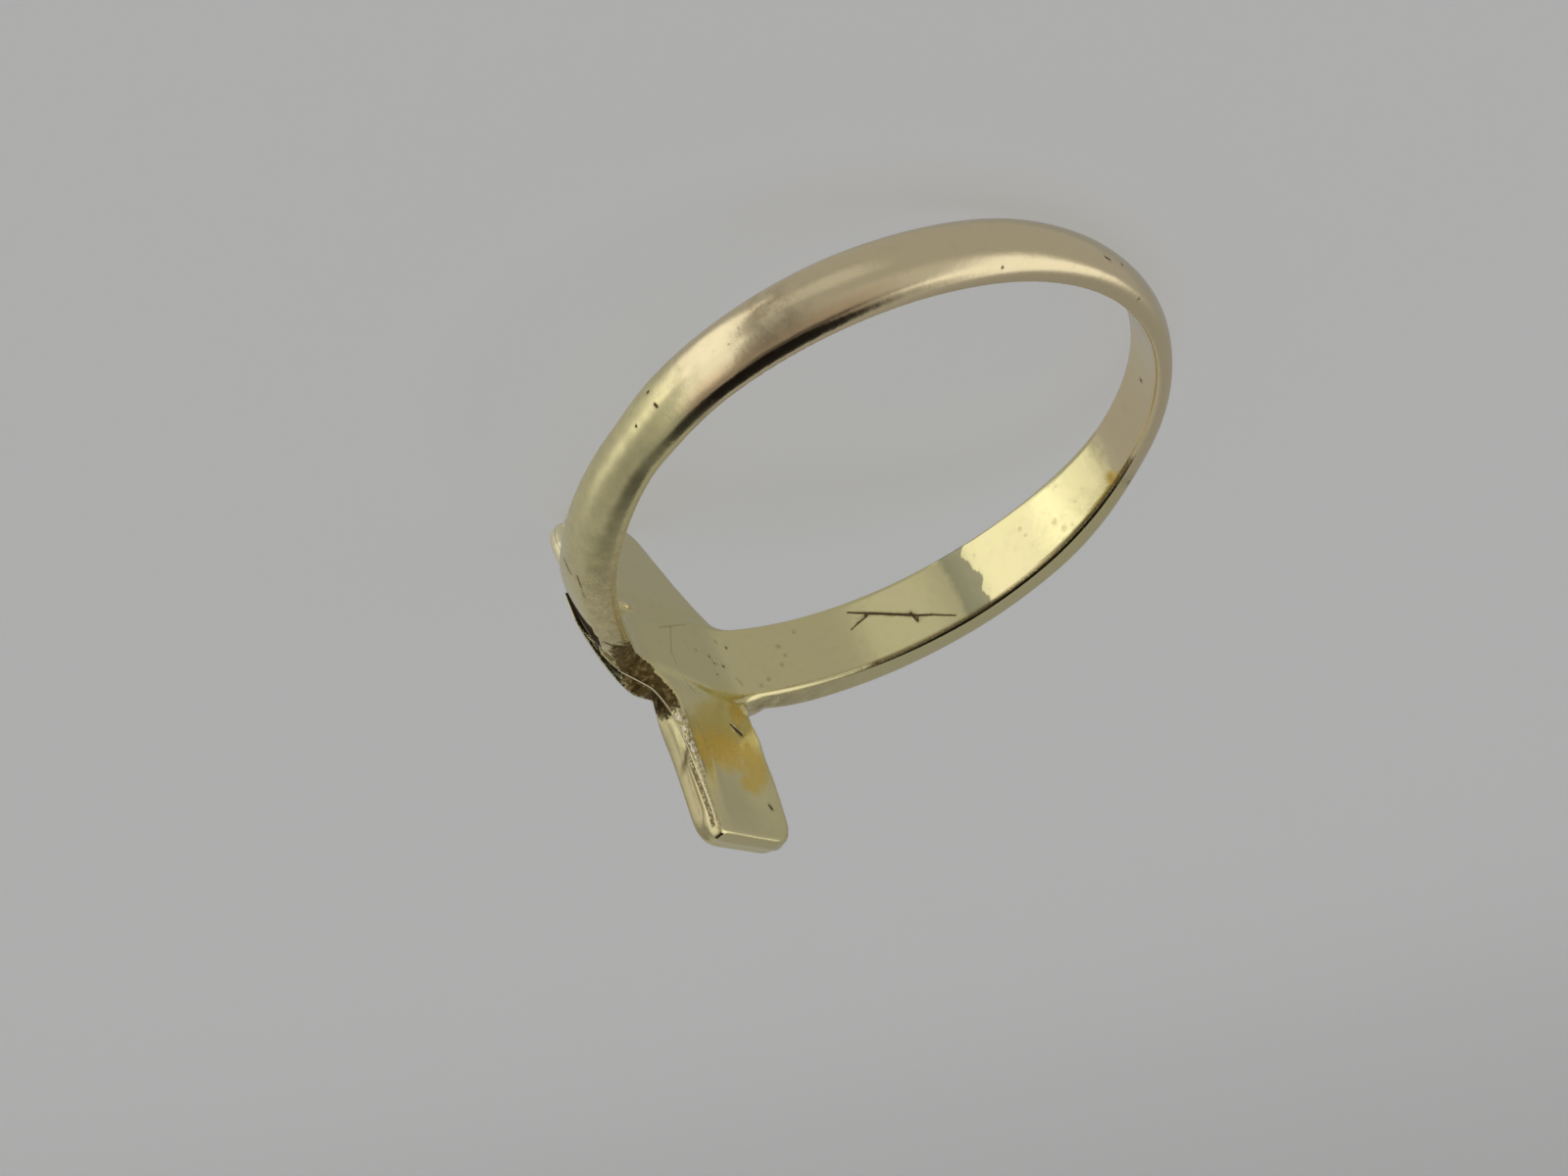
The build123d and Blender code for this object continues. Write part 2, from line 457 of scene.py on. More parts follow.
    def side_arms_distance(self, x, y, z):
        """Distance from the side arms, which are bent back over the shoulders to thin tips."""
        c = self.cross
        left = y < c.bar_offset
        seam = self.head + c.back_sheet
        left_side = c.bar_offset - c.bar_width / 2
        right_side = c.bar_offset + c.bar_width / 2
        run = (c.arm_span - c.bar_width) / 2
        tips = [np.clip(way / run, 0, 1.2) ** 2 for way in (left_side - y, y - right_side)]
        thinned = c.front_sheet - c.arm_tip
        under = seam - ARM_SINK
        over = seam + c.front_sheet
        for tip, under_bend, over_bend in zip(tips, UNDER_BEND, OVER_BEND):
            under = under - under_bend * tip
            over = over - (thinned + over_bend) * tip
        rounding = np.where(left & (z < 0), 0.6, 1.5)
        # The tip of the left arm runs out further where it covers the slot
        spread = 0.38 * step_up(z, -1.62, -1.3) * step_up(z, 0.75, -0.15) * left
        past_tips = np.abs(y - c.bar_offset) - c.arm_span / 2 - spread
        plan = smooth_max(past_tips, np.abs(z + 0.18) - c.arm_width / 2, rounding)
        # The corner of the right arm is cut off, and the left arm ends in the slanting wall
        plan = smooth_max(plan, 0.93 * (z - 1.30) + 0.36 * (y - 4.75), blend=0.3)
        wall = np.where(y < left_side + 0.6, self.left_corner(x, y, z), -9.0)
        plan = smooth_max(plan, wall, blend=0.3)
        faces = smooth_max(x - over, under - x, blend=0.04)
        return smooth_max(faces, plan, blend=0.08)

    def distance(self, x, y, z):
        """Distance from the whole ring."""
        ring = smooth_min(
            self.band_distance(x, y, z), self.back_sheet_distance(x, y, z), blend=0.30
        )
        # Bar and side arms are flush in front, and their inner corners are filled behind
        front_face = self.head + self.cross.back_sheet + self.cross.front_sheet
        corner_fill = 0.02 + 0.23 * step_up(front_face - x, 0.03, 0.30)
        front = smooth_min(
            self.front_bar_distance(x, y, z), self.side_arms_distance(x, y, z), corner_fill
        )
        # Solder in the seam: thin at the left tip, fuller at the end of the foot and above the slot
        solder = 0.02 + 0.08 * np.clip((y + 2.6) / 0.5, 0.0, 1.0) + 0.22 * step_up(z, 5.1, 5.7)
        solder += 0.30 * step_up(z, -0.4, -0.9) * step_up(y, -2.6, -3.4)
        whole = smooth_min(ring, front, solder)
        return smooth_max(whole, -self.slot_distance(x, y, z), blend=0.04)

    def slot_distance(self, x, y, z):
        """Distance from the narrow slot beside the left shoulder, widest at its middle."""
        nearest = np.full(np.shape(x), 9.0)
        for start, end in zip(SLOT, SLOT[1:]):
            *run, widening = [b - a for a, b in zip(start, end)]
            reach = (x - start[0], y - start[1], z - start[2])
            way = sum(r * d for r, d in zip(reach, run)) / sum(d * d for d in run)
            share = np.clip(way, 0, 1)
            gap = sum((r - share * d) ** 2 for r, d in zip(reach, run))
            nearest = np.minimum(nearest, np.sqrt(gap) - (start[3] + share * widening))
        return nearest


def sample_grid(form, low, high, cell):
    """Distances on a grid of points, worked out slab by slab."""
    axes = [np.arange(a, b, cell) for a, b in zip(low, high)]
    values = np.empty([len(a) for a in axes], np.float32)
    y, z = np.meshgrid(axes[1], axes[2], indexing="ij")
    for i, x in enumerate(axes[0]):
        values[i] = form.distance(np.full_like(y, x), y, z)
    return values


def surface_net(values, low, cell):
    """Mesh of quads where the distances change sign, with a vertex in each crossed cell."""
    inside = values < 0
    shape = [n - 1 for n in values.shape]
    corners = [(i, j, k) for i in (0, 1) for j in (0, 1) for k in (0, 1)]
    count = np.zeros(shape, np.int8)
    for i, j, k in corners:
        count += inside[i : i + shape[0], j : j + shape[1], k : k + shape[2]]
    crossed = (count > 0) & (count < len(corners))
    cells = np.argwhere(crossed)
    number = np.full(shape, -1, np.int32)
    number[crossed] = np.arange(len(cells))
    held = {c: values[tuple((cells + c).T)] for c in corners}
    total = np.zeros((len(cells), 3))
    crossings = np.zeros(len(cells))
    for start in corners:
        for axis in range(3):
            if start[axis]:
                continue
            end = tuple(1 if a == axis else s for a, s in enumerate(start))
            a, b = held[start], held[end]
            cut = (a < 0) != (b < 0)
            share = np.where(cut, a / np.where(cut, a - b, 1.0), 0.0)
            point = np.array(start, float) + np.eye(3)[axis] * share[:, None]
            total += point * cut[:, None]
            crossings += cut
    points = np.array(low) + (cells + total / crossings[:, None]) * cell
    # Each crossed edge of the grid gets a quad between the four cells round it
    quads = []
    for axis in range(3):
        before = np.moveaxis(inside, axis, 0)
        changes = np.argwhere(before[:-1] != before[1:])
        leaving = before[:-1][tuple(changes.T)]
        grid = np.moveaxis(number, axis, 0)
        along, side, up = changes.T
        keep = (side > 0) & (up > 0) & (side < grid.shape[1]) & (up < grid.shape[2])
        along, side, up, leaving = along[keep], side[keep], up[keep], leaving[keep]
        offsets = ((-1, -1), (0, -1), (0, 0), (-1, 0))
        quad = np.stack([grid[along, side + i, up + j] for i, j in offsets], 1)
        # Along Y the two other axes come in reverse, so the quads are wound the other way
        wound = ~leaving if axis == 1 else leaving
        quad[~wound] = quad[~wound][:, ::-1]
        quads.append(quad)
    return points, np.concatenate(quads)


def slope_of(form, points, step=0.01):
    """Direction in which the distance grows, at each point."""
    slope = np.empty_like(points)
    for axis in range(3):
        shift = np.zeros(3)
        shift[axis] = step
        slope[:, axis] = form.distance(*(points + shift).T) - form.distance(*(points - shift).T)
    return slope / (2 * step)


def settle(form, points, rounds=3, least_steep=0.2, longest=0.04):
    """Points moved onto the surface, and the surface's normals there."""
    for _ in range(rounds):
        slope = slope_of(form, points)
        steep = np.maximum((slope * slope).sum(1), least_steep)
        step = (form.distance(*points.T) / steep)[:, None] * slope
        points = points - np.clip(step, -longest, longest)
    slope = slope_of(form, points)
    return points, slope / np.maximum(np.linalg.norm(slope, axis=1), 1e-6)[:, None]


def lying_down():
    """Turn and shift from the ring's own space to where it lies, in metres."""
    roll = Matrix.Rotation(math.radians(REST_ROLL), 4, "X")
    tilt = Matrix.Rotation(math.radians(-REST_TILT), 4, "Y")
    return Matrix.Scale(MM, 4) @ Matrix.Translation(FINGER_CENTRE) @ tilt @ roll


# Finishes, painted shade and painted highlight that the surface carries as shares from nought to
# one
PAINTS = (
    "rose", "joint", "near_side", "corner", "amber", "seam_side", "foot_side", "slot",
    "marked", "faint", "dull", "worn", "brown", "rim", "step", "crumb", "tip", "tarnish",
)

# Where finishes, painted shade and painted reflection of the band begin, are full, are still full
# and end, in degrees round the finger
ROUND_FINGER = {
    "rose": (118, 124, 263, 271),
    "left_near_side": (285, 315, 337, 343),
    "right_near_side": (22, 27, 38, 52),
    "tarnish": (226, 240, 263, 273),
    "worn": (265, 276, 300, 330),
    "rim": (322, 328, 348, 352),
}
# Joints of the back that was let in: their place and half width in degrees
BACK_JOINTS = ((121.0, 2.2), (267.0, 3.5))

# Stains, as tables of humps: brown outside and on the near side, by degrees round the finger,
# and amber from the soldering heat, inside by degrees and on the foot by millimetres
OUTSIDE_STAIN = ((249.5, 0.1, 4.2, 0.9, 1.0),)
NEAR_STAIN = ((30.5, 0.55, 4.5, 0.3, 1.0),)
INSIDE_AMBER = ((120.5, 0.72, 1.7, 0.32, 1.0),)
FOOT_AMBER = (
    (1.40, 3.35, 1.30, 0.75, 1.0),
    (2.75, 3.65, 0.80, 0.80, 1.0),
    (2.30, 4.30, 0.60, 0.40, 0.9),
    (0.30, 3.50, 0.40, 0.90, 0.8),
    (2.75, 1.95, 0.50, 0.40, 0.8),
)

# Top of the unpolished wall in the left corner, which carries painted shade, and the seam between
# the sheets: the place across or along the bar, and the height in X or the depth in the sheets
# there
WALL_TOP = (
    (-3.2, 7.80),
    (-2.7, 8.00),
    (-1.8, 8.56),
    (-1.4, 8.80),
    (-1.1, 8.93),
    (-0.7, 9.00),
    (-0.1, 9.00),
)
SEAM_DEPTH = (
    (0.8, 0.62),
    (1.4, 0.40),
    (1.9, 0.37),
    (2.6, 0.30),
    (3.2, 0.23),
    (3.9, 0.19),
    (4.8, 0.13),
    (5.4, 0.11),
    (5.9, 0.15),
)

# Marks on the metal: their width in millimetres, and the points that each runs through
DARK_MARKS = (
    (0.040, ((5.18, 6.93, -0.85), (4.76, 7.22, -0.60))),
    (0.062, ((4.76, 7.22, -0.60), (4.35, 7.47, -0.35), (3.85, 7.74, -0.03), (3.48, 7.92, 0.22))),
    (0.050, ((3.48, 7.92, 0.22), (3.07, 8.08, 0.44))),
    (0.034, ((3.07, 8.08, 0.44), (2.43, 8.30, 0.87))),
    (0.042, ((4.73, 7.24, -0.49), (5.04, 7.03, -0.36))),
    (0.030, ((5.04, 7.03, -0.36), (5.29, 6.85, -0.22))),
    (0.055, ((3.60, 7.87, 0.04), (3.52, 7.90, 0.42))),
    (0.060, ((5.53, 6.66, 1.22), (5.60, 6.60, 1.28))),
    (0.055, ((8.00, 2.38, -0.07),)),
    (0.050, ((8.00, 2.49, 0.17),)),
    (0.055, ((7.98, 2.90, 0.21),)),
    (0.045, ((8.00, 2.39, 0.59),)),
    (0.050, ((7.91, 3.42, -0.56),)),
    (0.075, ((8.46, 2.92, 4.95), (8.47, 2.98, 5.06))),
    (0.060, ((5.10, 7.05, 1.20),)),
    (0.120, ((8.19, 2.42, 2.52), (8.20, 2.56, 2.64))),
    (0.070, ((8.16, 2.18, 2.38), (8.19, 2.42, 2.52))),
    (0.070, ((8.12, 3.60, 1.60), (8.12, 3.85, 1.50))),
    (0.025, ((6.73, -4.47, 1.09), (6.96, -4.10, 1.07), (7.22, -3.60, 1.04))),
    (0.055, ((0.39, -8.83, -0.36),)),
    (0.045, ((0.33, -8.89, 0.10), (0.31, -8.88, 0.20))),
    (0.050, ((1.11, -8.74, 0.12),)),
    (0.050, ((-9.26, -1.79, 0.29), (-9.30, -1.60, 0.33))),
    (0.050, ((-9.36, -0.95, 0.25),)),
    (0.050, ((-9.08, 0.09, 0.73),)),
    (0.040, ((-7.63, -5.05, 0.81),)),
    (0.070, ((-7.15, 4.87, 0.03),)),
    (0.060, ((-4.66, 7.88, 0.92),)),
    (0.045, ((5.99, -6.29, -0.07), (6.02, -6.25, 0.16), (6.05, -6.17, 0.38))),
    (0.032, ((5.85, -6.25, 0.61), (6.08, -5.93, 0.75))),
    (0.028, ((6.21, -5.77, 0.78), (6.54, -5.26, 0.91), (7.05, -4.48, 0.96))),
)
FAINT_MARKS = (
    (0.100, ((8.12, 4.20, 1.38), (8.00, 4.75, 1.30))),
    (0.060, ((8.67, 0.03, 5.86), (8.64, 0.06, 5.96))),
    (0.050, ((8.15, 0.37, 2.36), (8.24, 0.55, 3.20), (8.31, 0.77, 3.77))),
    (0.050, ((8.00, 0.93, -0.93), (8.00, 0.34, 0.21), (8.04, 0.42, 1.04), (8.07, 0.83, 1.56))),
    (0.050, ((8.00, 0.23, -0.70), (8.00, 1.84, -1.18))),
    (0.110, ((8.00, 1.77, -0.20),)),
    (0.130, ((8.00, 3.05, -0.75),)),
    (0.120, ((7.98, 3.30, 0.62), (7.98, 3.42, 0.85))),
    (0.130, ((7.04, 5.03, -0.35),)),
    (0.100, ((6.98, 5.11, 0.01),)),
    (0.120, ((7.12, 4.91, 0.33),)),
    (0.130, ((7.48, 4.34, 0.75),)),
    (0.100, ((7.65, 4.04, 0.95),)),
    (0.110, ((6.60, 5.60, -0.75),)),
    (0.150, ((-1.90, 8.44, 0.20),)),
    (0.170, ((-2.06, 8.40, 0.62),)),
    (0.120, ((-0.75, 8.62, -0.40),)),
    (0.100, ((-0.81, 8.61, -0.10),)),
    (0.200, ((-4.36, 7.50, 0.62),)),
)


def nearest_mark(points, table):
    """Offset of each point from the nearest mark in widths of that mark, and its distance."""
    offset = np.full(points.shape, 9.0)
    nearest = np.full(len(points), 99.0)
    distance = np.full(len(points), 9.0)
    for width, line in table:
        line = np.array(line, float)
        for start, end in zip(line, line[1:] if len(line) > 1 else line):
            run = end - start
            share = np.clip(((points - start) @ run) / max((run * run).sum(), 1e-9), 0, 1)
            away = points - start - share[:, None] * run
            far = np.linalg.norm(away, axis=1)
            closer = far / width < nearest
            nearest[closer] = far[closer] / width
            distance[closer] = far[closer]
            offset[closer] = away[closer] / width
    return offset, nearest, distance


def band_paint(turn, deep, z, from_near, facing_near):
    """Finishes of the band: its golds, its wear and its stains, with its painted shade and painted
    reflection.
    """
    lies = {name: window(turn, *ends) for name, ends in ROUND_FINGER.items()}
    near_face = step_up(facing_near, 0.5, 0.9)
    near_rounding = window(facing_near, 0.30, 0.60, 0.85, 0.97)
    inside_face = step_up(deep, 0.12, 0.06)
    outside_face = step_up(deep, 0.2, 0.4)
    left_near_side = step_up(facing_near, 0.45, 0.8) * lies["left_near_side"]
    # The dull grey band, a rougher finish with painted shade that gives the highlight beside it a
    # hard edge, ends in a ragged course across the inside of the thick shoulder
    course = 82.0 + 0.8 * np.sin(3.9 * z + 1.2) + 0.35 * np.sin(9.0 * z)
    course += 0.7 * step_up(z, 0.5, 1.0)
    outside_stain = outside_face * sum(humps(OUTSIDE_STAIN, turn, z))
    near_stain = near_face * sum(humps(NEAR_STAIN, turn, deep))
    return {
        "rose": lies["rose"],
        "joint": sum(swell(turn - place, width) for place, width in BACK_JOINTS),
        "near_side": left_near_side + 0.8 * near_face * lies["right_near_side"],
        "dull": inside_face * step_up(turn, 73.5, 78.5) * step_up(course - turn, 0.0, 0.6),
        # Painted dark reflection along the near rounding of the back
        "tarnish": near_rounding * lies["tarnish"],
        "worn": outside_face * lies["worn"],
        "brown": np.maximum(outside_stain, near_stain),
        # Painted shade on the inner edge of the left shoulder, which dims its reflection
        "rim": hump(deep - 0.05, from_near, 0.10, 0.10) * lies["rim"],
        "amber": inside_face * sum(humps(INSIDE_AMBER, turn, z)),
    }


def cross_paint(form, points, normals, depth, seam):
    """Finishes of the cross: its walls, its seam, its slot and its stains, with painted shade on
    the corner wall and in the slot, a painted shadow under the step and a painted highlight on the
    top.
    """
    x, y, z = points.T
    facing_out, facing_side, facing_near = normals.T
    back_face = step_up(facing_out, -0.6, -0.9) * step_up(x, 7.6, 7.9)
    side = step_up(np.maximum(facing_near, -facing_side), 0.25, 0.6)
    left_of_foot = step_up(y, 0.7, 0.4)
    foot_side = step_up(facing_side, -0.4, -0.8) * step_up(z, 1.9, 2.3) * left_of_foot

    # Painted shade on the unpolished wall in the left corner, with a ragged end towards the
    # shoulder
    ragged = y + 0.20 * np.sin(19.0 * x + 1.0) + 0.12 * np.sin(47.0 * x)
    corner = side * step_up(ragged, -3.45, -2.65) * step_up(y, -0.05, -0.15)
    corner *= window(z, -0.15, 0.65, 1.75, 2.55) * step_up(x, 7.00, 7.60)
    corner *= step_up(read_off(y, WALL_TOP) - x, -0.24, 0.20)
    seam_wall = side * window(y, -1.9, -1.6, 0.1, 0.2) * step_up(z, 2.6, 2.2)

    # Painted shade inside the slot and on the metal round it, and in the gap under the tip of the
    # left arm
    from_slot = form.slot_distance(x, y, z)
    in_slot = step_up(from_slot, 0.26, 0.20) * step_up(facing_near, 0.75, 0.60)
    groove = step_up(from_slot, 0.07, 0.03)
    under_tip = step_up(facing_out, -0.3, -0.6) * step_up(x, 8.15, 8.25)
    under_tip *= step_up(y, -2.75, -2.9) * step_up(z, 1.0, 0.8)

    # Crumbs of solder behind the seam, on the side of the foot and its rounded edge
    rounded_edge = step_up(facing_out, -0.02, -0.25) * step_up(facing_side, -0.02, -0.25)
    crumb = np.maximum(rounded_edge * left_of_foot, foot_side) * step_up(seam - depth, 0.0, 0.04)
    # Painted highlight on the left side of the front sheet at the top of the cross
    tip = step_up(z, -3.3, -3.9) * step_up(y, -0.1, -0.45) * step_up(depth, 0.30, 0.42)
    return {
        "corner": corner,
        "amber": back_face * np.maximum.reduce(humps(FOOT_AMBER, y, z)),
        "slot": np.maximum.reduce([in_slot * step_up(x, 8.34, 8.29), groove, under_tip]),
        "seam_side": np.maximum(seam_wall, foot_side) * step_up(x, 8.1, 8.2),
        "foot_side": foot_side,
        # Painted shadow under the step on the side of the foot
        "step": foot_side * swell(z - 3.72 - 0.9 * (x - 8.9), 0.13) * step_up(x, 9.22, 8.82),
        "crumb": crumb * window(z, 2.0, 2.5, 4.1, 4.6),
        "tip": tip,
    }


def surface_paint(form, points, normals):
    """Share of each finish on the ring, and the lines that the finishes follow."""
    x, y, z = points.T
    turn, (half, _, _, inside) = form.around(x, y)
    deep = np.hypot(x, y) - inside
    depth = form.sheet_depth(x, z)
    seam = read_off(z, SEAM_DEPTH)
    on_band = band_paint(turn, deep, z, z - half, normals[:, 2])
    paint = {**on_band, **cross_paint(form, points, normals, depth, seam)}
    paint["amber"] = np.maximum(paint["amber"], on_band["amber"])
    dark_offset, _, dark_distance = nearest_mark(points, DARK_MARKS)
    paint["marked"] = step_up(dark_distance, 0.20, 0.14)
    paint["faint"] = np.minimum(nearest_mark(points, FAINT_MARKS)[1], 4.0)
    lines = np.stack([depth - seam, deep, z - half], 1)
    return paint, {"place": points, "lines": lines, "dark_mark": dark_offset}


class Wiring:
    """Lays the nodes of one material or world."""

    def __init__(self, tree):
        self.tree = tree

    def node(self, kind, inputs=(), **settings):
        """A new node, with values or links on its inputs."""
        made = self.tree.nodes.new(kind)
        for name, value in settings.items():
            setattr(made, name, value)
        for socket, value in inputs:
            if isinstance(value, bpy.types.NodeSocket):
                self.tree.links.new(value, made.inputs[socket])
            else:
                made.inputs[socket].default_value = value
        return made

    def sum(self, operation, first, second=0.0, third=0.0, clamp=False):
        """What a sum of one to three numbers gives."""
        pairs = [(0, first), (1, second), (2, third)]
        node = self.node("ShaderNodeMath", pairs, operation=operation, use_clamp=clamp)
        return node.outputs[0]

    def attribute(self, name, output="Fac"):
        """What the surface carries under a name."""
        return self.node("ShaderNodeAttribute", attribute_name=name).outputs[output]

    def split(self, vector):
        """The three parts of a vector."""
        return self.node("ShaderNodeSeparateXYZ", [(0, vector)]).outputs

    def step(self, value, start, end):
        """Eased step from nought at the start to one at the end."""
        pairs = [("Value", value), ("From Min", start), ("From Max", end)]
        return self.node("ShaderNodeMapRange", pairs, interpolation_type="SMOOTHSTEP").outputs[0]

    def window(self, value, low, high, soft_low, soft_high):
        """One between two values, nought outside, with soft sides."""
        rise = self.step(value, low - soft_low, low + soft_low)
        fall = self.step(value, high + soft_high, high - soft_high)
        return self.product(rise, fall)

    def product(self, *values):
        """All the values times each other."""
        total = values[0]
        for value in values[1:]:
            total = self.sum("MULTIPLY", total, value)
        return total

    def pile_up(self, total, rows):
        """The total with each row's value added to it, times the row's amount."""
        for value, amount in rows:
            total = self.sum("MULTIPLY_ADD", value, amount, total)
        return total

    def blend(self, share, first, second):
        """The second colour over the first."""
        pairs = [(0, share), (6, first), (7, second)]
        return self.node("ShaderNodeMix", pairs, data_type="RGBA").outputs[2]

    def noise(self, place, scale, detail, roughness=0.55):
        """Cloudy noise."""
        pairs = [("Vector", place), ("Scale", scale), ("Detail", detail), ("Roughness", roughness)]
        return self.node("ShaderNodeTexNoise", pairs).outputs["Fac"]


def rgba(values, shade=1.0):
    """A colour, darkened by the shade, as a socket holds it."""
    return (*[shade * value for value in values], 1.0)


# Colours of the wear, the stains and the dirt that lie on the gold, and of the painted shade,
# painted reflection and painted highlight laid on it
TINTS = {
    "cloudy": (0.85, 0.71, 0.45),
    "mottled": (0.66, 0.60, 0.34),
    "joint": (0.62, 0.55, 0.30),
    "near_side": (0.66, 0.55, 0.30),
    "speckle": (0.38, 0.28, 0.13),
    "rim": (0.52, 0.45, 0.26),
    "dull": (0.36, 0.34, 0.21),
    "worn": (0.60, 0.55, 0.30),
    "tarnish": (0.55, 0.36, 0.19),
    "bright_tip": (1.0, 0.92, 0.60),
    "brown": (0.42, 0.31, 0.17),
    "amber_edge": (0.45, 0.26, 0.06),
    "edge_dirt": (0.20, 0.13, 0.05),
    # Painted shade of the wall in the left corner
    "wall": (0.100, 0.068, 0.022),
    "wall_dark": (0.050, 0.032, 0.010),
    "wall_crumb": (0.27, 0.19, 0.08),
    "seam_dirt": (0.17, 0.12, 0.06),
    "front_side": (0.54, 0.47, 0.26),
    "light_crumb": (0.98, 0.94, 0.76),
    "dark_crumb": (0.34, 0.28, 0.13),
    "back_grain": (0.42, 0.33, 0.16),
    "groove": (0.16, 0.11, 0.05),
    "faint_mark": (0.42, 0.30, 0.12),
    "halo": (0.30, 0.20, 0.08),
}
SLOT_SHADE = 0.35


class GoldFinish:
    """The worn gold, on which each coat of colour is laid over the ones before it."""

    def __init__(self, tree, colours):
        self.w = w = Wiring(tree)
        self.tints = {name: getattr(colours, name) for name in GoldColours.__annotations__}
        self.tints.update(TINTS)
        self.place = w.attribute("place", "Vector")
        _, self.side, self.up = w.split(self.place)
        self.from_seam, self.deep, self.from_near = w.split(w.attribute("lines", "Vector"))
        self.masks = {name: w.attribute(name) for name in PAINTS}
        self.mottle = w.noise(self.place, 2.6, 4.0, 0.6)
        self.grain = w.noise(self.place, 14.0, 4.0, 0.65)
        self.crumbs = w.noise(self.place, 6.5, 2.0, 0.5)
        golds = [rgba(self.tints[name]) for name in ("shoulder_gold", "back_gold")]
        self.colour = w.blend(self.masks["rose"], *golds)
        self.lay_base()
        self.lay_stains()
        self.lay_corner_wall_shade()
        self.lay_seam()
        self.lay_marks()

    def mottled(self, start, end):
        """Blotches of middle size."""
        return self.w.step(self.mottle, start, end)

    def grained(self, start, end):
        """Fine grains."""
        return self.w.step(self.grain, start, end)

    def crumbled(self, start, end):
        """Crumbs, coarser than the grains."""
        return self.w.step(self.crumbs, start, end)

    def coat(self, share, strength, tint):
        """Lay a tint over the colour so far."""
        share = self.w.product(share, strength)
        self.colour = self.w.blend(share, self.colour, rgba(self.tints[tint]))

    def lay_base(self):
        """Clouds all over, the joints of the back, the near sides of the shoulders, and painted
        shade on the inner edge of the left shoulder.
        """
        w, masks = self.w, self.masks
        cloud = w.noise(self.place, 0.55, 3.0)
        self.coat(w.step(cloud, 0.38, 0.66), 0.25, "cloudy")
        self.coat(self.mottled(0.5, 0.75), 0.22, "mottled")
        self.coat(w.product(masks["joint"], self.mottled(0.35, 0.6)), 0.55, "joint")
        self.coat(w.product(masks["near_side"], self.mottled(0.25, 0.7)), 0.8, "near_side")
        self.coat(w.product(masks["near_side"], self.grained(0.50, 0.68)), 0.55, "speckle")
        # Painted shade dimming the reflection on the inner edge of the left shoulder
        self.coat(masks["rim"], 0.40, "rim")

    def lay_stains(self):
        """Dull grey band with painted shade, wear, a brown painted dark reflection on the near edge
        of the back, a painted highlight on the top, brown stains, heat stain and the dirt along the
        inside edge.
        """
        w, masks = self.w, self.masks
        # Painted shade over the rougher dull band, which gives the highlight on the thick shoulder
        # a hard edge
        dull = w.sum("MULTIPLY_ADD", self.mottle, 0.6, w.sum("SUBTRACT", masks["dull"], 0.30))
        self.dull = w.step(dull, 0.20, 0.75)
        self.coat(self.dull, 0.90, "dull")
        self.coat(w.product(masks["worn"], self.mottled(0.30, 0.65)), 0.45, "worn")
        # Painted dark reflection, brown, along the near edge of the back
        self.coat(masks["tarnish"], 0.70, "tarnish")
        # Painted highlight on the top of the cross
        self.coat(masks["tip"], 0.80, "bright_tip")
        self.coat(w.product(masks["brown"], self.mottled(0.32, 0.60)), 0.65, "brown")

        amber = w.sum("ADD", masks["amber"], w.sum("MULTIPLY_ADD", self.mottle, 0.9, -0.45))
        self.amber = w.step(amber, 0.18, 0.80)
        self.coat(self.amber, 0.85, "amber_stain")
        amber_edge = w.product(self.amber, self.mottled(0.55, 0.40), self.grained(0.45, 0.62))
        self.coat(amber_edge, 0.25, "amber_edge")

        edge_line = w.product(
            w.window(self.deep, -0.03, 0.10, 0.02, 0.03),
            w.window(self.from_near, -0.14, 0.05, 0.03, 0.05),
            w.step(self.side, 6.75, 7.0),
            self.grained(0.30, 0.45),
        )
        self.coat(edge_line, 0.85, "edge_dirt")

    def lay_corner_wall_shade(self):
        """Painted shade on the unpolished wall in the left corner, dark brown with lighter crumbs.
        """
        w = self.w
        uneven = w.sum("MULTIPLY_ADD", self.grain, 1.3, -1.25)
        uneven = w.sum("MULTIPLY_ADD", self.mottle, 1.2, uneven)
        self.corner = w.step(w.sum("ADD", self.masks["corner"], uneven), 0.34, 0.62)
        wall = w.blend(self.mottled(0.42, 0.62), rgba(TINTS["wall"]), rgba(TINTS["wall_dark"]))
        crumbs = w.product(self.crumbled(0.52, 0.70), 0.7)
        wall = w.blend(crumbs, wall, rgba(TINTS["wall_crumb"]))
        self.colour = w.blend(self.corner, self.colour, wall)

    def lay_seam(self):
        """Seam between the sheets: a bright line, crumbs and grain behind it, dirt before it, and a
        painted shadow under the step on the side of the foot.
        """
        w, masks, foot_side = self.w, self.masks, self.masks["foot_side"]
        strip = w.window(self.from_seam, 0.03, 0.17, 0.015, 0.02)
        strip = w.product(foot_side, strip, w.step(self.up, 3.3, 3.8))
        self.strip = w.product(strip, w.step(self.up, 5.85, 5.75))
        self.coat(w.product(self.strip, self.grained(0.34, 0.50)), 0.9, "seam_dirt")
        self.coat(w.product(foot_side, w.step(self.from_seam, 0.22, 0.28)), 0.85, "front_side")
